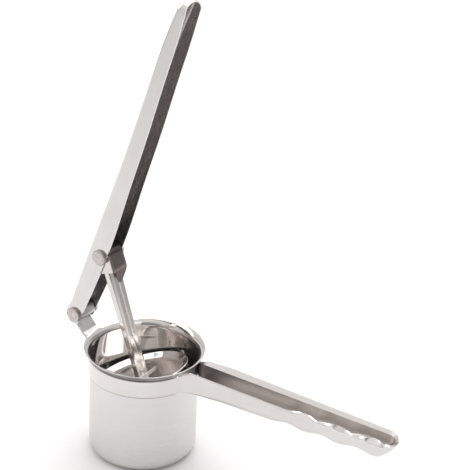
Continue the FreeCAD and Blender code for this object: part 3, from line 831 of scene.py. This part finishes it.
near_y = -(arm_half - near_in)
arm_y = np.concatenate([near_y, (arm_half - arm_bend) * back_y, -near_y[:, ::-1]], 1)
arm_points = on_plunger(arm_x, arm_y, -arm_length[:, None])
arm_grain = np.stack([arm_length[:, None] + 0 * arm_x, 0 * arm_x, arm_y - arm_x], -1)
# The open side of the arm is lighter than the foldings round it: a painted highlight along the inside of the
# channel.
painted_highlight_arm = stainless("painted_highlight_arm_channel", "#faf8f6", "#ebe7e4", 0.08, 0.16, 0.9, 60.0, 0.0006, 9.0)
arm = skin("arm_channel", [patch(arm_points, arm_grain, flip=True)], "plunger", "plunger_arm",
           [tumbled, painted_highlight_arm])
wall(arm, plunger_sheet, 0.25)

# ---------------------------------------------------------------------------------- foot
# A short strip of 1.2 mm sheet under the arm, spot-welded flat to the press plate.
foot_half = 15.0
foot_front = 4.0
foot_back = -10.0
foot_corner = 2.0
foot_level = -100.5
foot_turn = sweep(0, 360, 49)
foot_share = np.linspace(0, 1, 7)[:, None]
foot_middle = 0.5 * (foot_front + foot_back)
foot_reach = 0.5 * (foot_front - foot_back)


def rounded_box(a, b, corner, turn):
    """Outline of a box, half sizes a and b: a smaller box with the corner's circle carried round it."""
    x = (a - corner) * np.clip(1.6 * np.cos(turn), -1, 1) + corner * np.cos(turn)
    y = (b - corner) * np.clip(1.6 * np.sin(turn), -1, 1) + corner * np.sin(turn)
    return x, y


foot_x, foot_y = rounded_box(foot_reach, foot_half, foot_corner, foot_turn)
foot_points = on_plunger(foot_middle + foot_share * foot_x, foot_share * foot_y, foot_level + plunger_sheet)
foot_grain = np.stack([foot_share * foot_y, 0 * foot_share * foot_y, foot_share * foot_x], -1)
foot = skin("foot_strip", [patch(foot_points, foot_grain)], "plunger", "plunger_foot",
            [tumbled])
wall(foot, plunger_sheet, 0.25)

# --------------------------------------------------------------------------- press plate
# A shallow dish of 1 mm sheet with a flared rim that slides down the cup, buffed bright.
plate_radius = 37.5
plate_floor_radius = 33.0
plate_level = -96.5
plate_dish = 4.0
plate_sheet = 1.0
dish_line = rounded(
    [np.array([10.0, plate_level - plate_dish]),
     np.array([plate_floor_radius - 0.7, plate_level - plate_dish]),
     np.array([plate_radius - 0.7, plate_level])],
    [2.5])
plate_middle = np.array([[0.0, plate_level - plate_dish]])
plate_flare = dish_line[-2] + (dish_line[-1] - dish_line[-2]) * np.array([[0.5], [1.0]])
plate_profile = np.concatenate([plate_middle, dish_line[:-1], plate_flare])
plate_ring = turned(plate_profile, 144)
plate_points = on_plunger(plate_ring[..., 0], plate_ring[..., 1], plate_ring[..., 2])
plate = skin("dish_plate", [patch(plate_points, turned_grain(plate_profile, 144))], "plunger",
             "press_plate", [bright_round])
wall(plate, plate_sheet, 0.25)

# ---------------------------------------------------------------------------- the studio
# A plain pale sheet of paper under the ricer, soft boxes above and beside it, and a long lens.
paper = bpy.data.materials.new("pale_paper")
paper.use_nodes = True
sheet_tree = paper.node_tree
sheet_tree.nodes.clear()
paper_shader = node(sheet_tree, "ShaderNodeBsdfPrincipled", {}, {
    "Base Color": linear("#e0dfdf"), "Roughness": 0.9})
node(sheet_tree, "ShaderNodeOutputMaterial", {}, {}, {"Surface": paper_shader.outputs["BSDF"]})
floor_mesh = bpy.data.meshes.new("floor")
floor_reach = 4.0
floor_mesh.from_pydata(
    [(-floor_reach, -floor_reach, 0), (floor_reach, -floor_reach, 0), (floor_reach, floor_reach, 0),
     (-floor_reach, floor_reach, 0)], [], [(0, 1, 2, 3)])
floor_mesh.materials.append(paper)
floor = bpy.data.objects.new("floor", floor_mesh)
bpy.context.scene.collection.objects.link(floor)

# The air of the studio is brightest overhead. Two sides of it are softly darker, like drapes, so that
# the steel has something dark to reflect: one behind, and one in front where the camera stands.
# Both stay where they are when the camera moves.
behind = (0.67, 0.74, 0.0)
in_front = (0.506, -0.8625, 0.0)
world = bpy.data.worlds.new("studio")
bpy.context.scene.world = world
world.use_nodes = True
air = world.node_tree
air.nodes.clear()
where = node(air, "ShaderNodeTexCoord")
split = node(air, "ShaderNodeSeparateXYZ", {}, {}, {"Vector": where.outputs["Generated"]})
shade = node(air, "ShaderNodeValToRGB", {}, {}, {"Fac": split.outputs["Z"]})
shade.color_ramp.elements[0].position = 0.0
shade.color_ramp.elements[0].color = linear("#f5f4f4")
shade.color_ramp.elements[1].position = 0.9
shade.color_ramp.elements[1].color = linear("#ffffff")
for height, tone in ((0.2, "#dddbdb"), (0.5, "#f1f0f0")):
    shade.color_ramp.elements.new(height).color = linear(tone)
aside = node(air, "ShaderNodeVectorMath", {"operation": "DOT_PRODUCT"}, {1: behind},
             {0: where.outputs["Generated"]})
dark_side = node(air, "ShaderNodeMapRange", {"interpolation_type": "SMOOTHSTEP"},
                 {"From Min": 0.72, "From Max": 0.96, "To Min": 0.0, "To Max": 0.6},
                 {"Value": aside.outputs["Value"]})
low_down = node(air, "ShaderNodeMapRange", {"interpolation_type": "SMOOTHSTEP"},
                {"From Min": 0.1, "From Max": 0.45, "To Min": 1.0, "To Max": 0.0},
                {"Value": split.outputs["Z"]})
darkness = node(air, "ShaderNodeMath", {"operation": "MULTIPLY"}, {},
                {0: dark_side.outputs["Result"], 1: low_down.outputs["Result"]})
toward_front = node(air, "ShaderNodeVectorMath", {"operation": "DOT_PRODUCT"},
                    {1: in_front}, {0: where.outputs["Generated"]})
dark_front = node(air, "ShaderNodeMapRange", {"interpolation_type": "SMOOTHSTEP"},
                  {"From Min": 0.7, "From Max": 0.98, "To Min": 1.0, "To Max": 0.35},
                  {"Value": toward_front.outputs["Value"]})
left_over = node(air, "ShaderNodeMath", {"operation": "SUBTRACT"}, {},
                 {0: dark_front.outputs["Result"], 1: darkness.outputs[0]})
sky = node(air, "ShaderNodeBackground", {}, {},
           {"Color": shade.outputs["Color"], "Strength": left_over.outputs[0]})
node(air, "ShaderNodeOutputWorld", {}, {}, {"Surface": sky.outputs["Background"]})


def soft_box(name, place, target, width, height, power):
    """Rectangular lamp at a place in metres, facing a target."""
    lamp = bpy.data.lights.new(name, "AREA")
    lamp.shape = "RECTANGLE"
    lamp.size = width
    lamp.size_y = height
    lamp.energy = power
    holder = bpy.data.objects.new(name, lamp)
    bpy.context.scene.collection.objects.link(holder)
    facing = (Vector(target) - Vector(place)).to_track_quat("-Z", "Y").to_matrix().to_4x4()
    holder.matrix_world = Matrix.Translation(place) @ facing
    return holder


soft_box("top_box", (-0.05, 0.38, 1.1), (-0.05, 0.38, 0.0), 1.4, 1.0, 8.5)
soft_box("back_box", (-0.7, 1.25, 1.2), (-0.7, 1.25, 0.0), 1.6, 1.0, 12)
soft_box("left_box", (-1.3, -0.6, 1.1), (-0.1, 0.0, 0.0), 0.9, 1.4, 6)
soft_box("right_box", (1.4, -1.1, 0.9), (0.05, 0.0, 0.1), 0.5, 1.2, 1.5)

camera_turn = math.radians(30.4)
camera_rise = math.radians(24.8)
camera_roll = math.radians(3.5)
camera_distance = 925.0
back = np.array([math.sin(camera_turn) * math.cos(camera_rise),
                 -math.cos(camera_turn) * math.cos(camera_rise), math.sin(camera_rise)])
level = np.array([math.cos(camera_turn), math.sin(camera_turn), 0.0])
upward = np.cross(back, level)
to_right = math.cos(camera_roll) * level + math.sin(camera_roll) * upward
to_top = -math.sin(camera_roll) * level + math.cos(camera_roll) * upward
looked_at = np.array([0.0, 0.0, 50.0]) + to_right * 70.9 + to_top * 119.3
lens = bpy.data.cameras.new("camera")
lens.lens = 91.15
lens.sensor_width = 36.0
camera = bpy.data.objects.new("camera", lens)
bpy.context.scene.collection.objects.link(camera)
stand = (looked_at + back * camera_distance) * MM
camera.matrix_world = Matrix([
    [to_right[0], to_top[0], back[0], stand[0]],
    [to_right[1], to_top[1], back[1], stand[1]],
    [to_right[2], to_top[2], back[2], stand[2]],
    [0, 0, 0, 1],
])
bpy.context.scene.camera = camera
bpy.context.scene.view_settings.view_transform = "Standard"
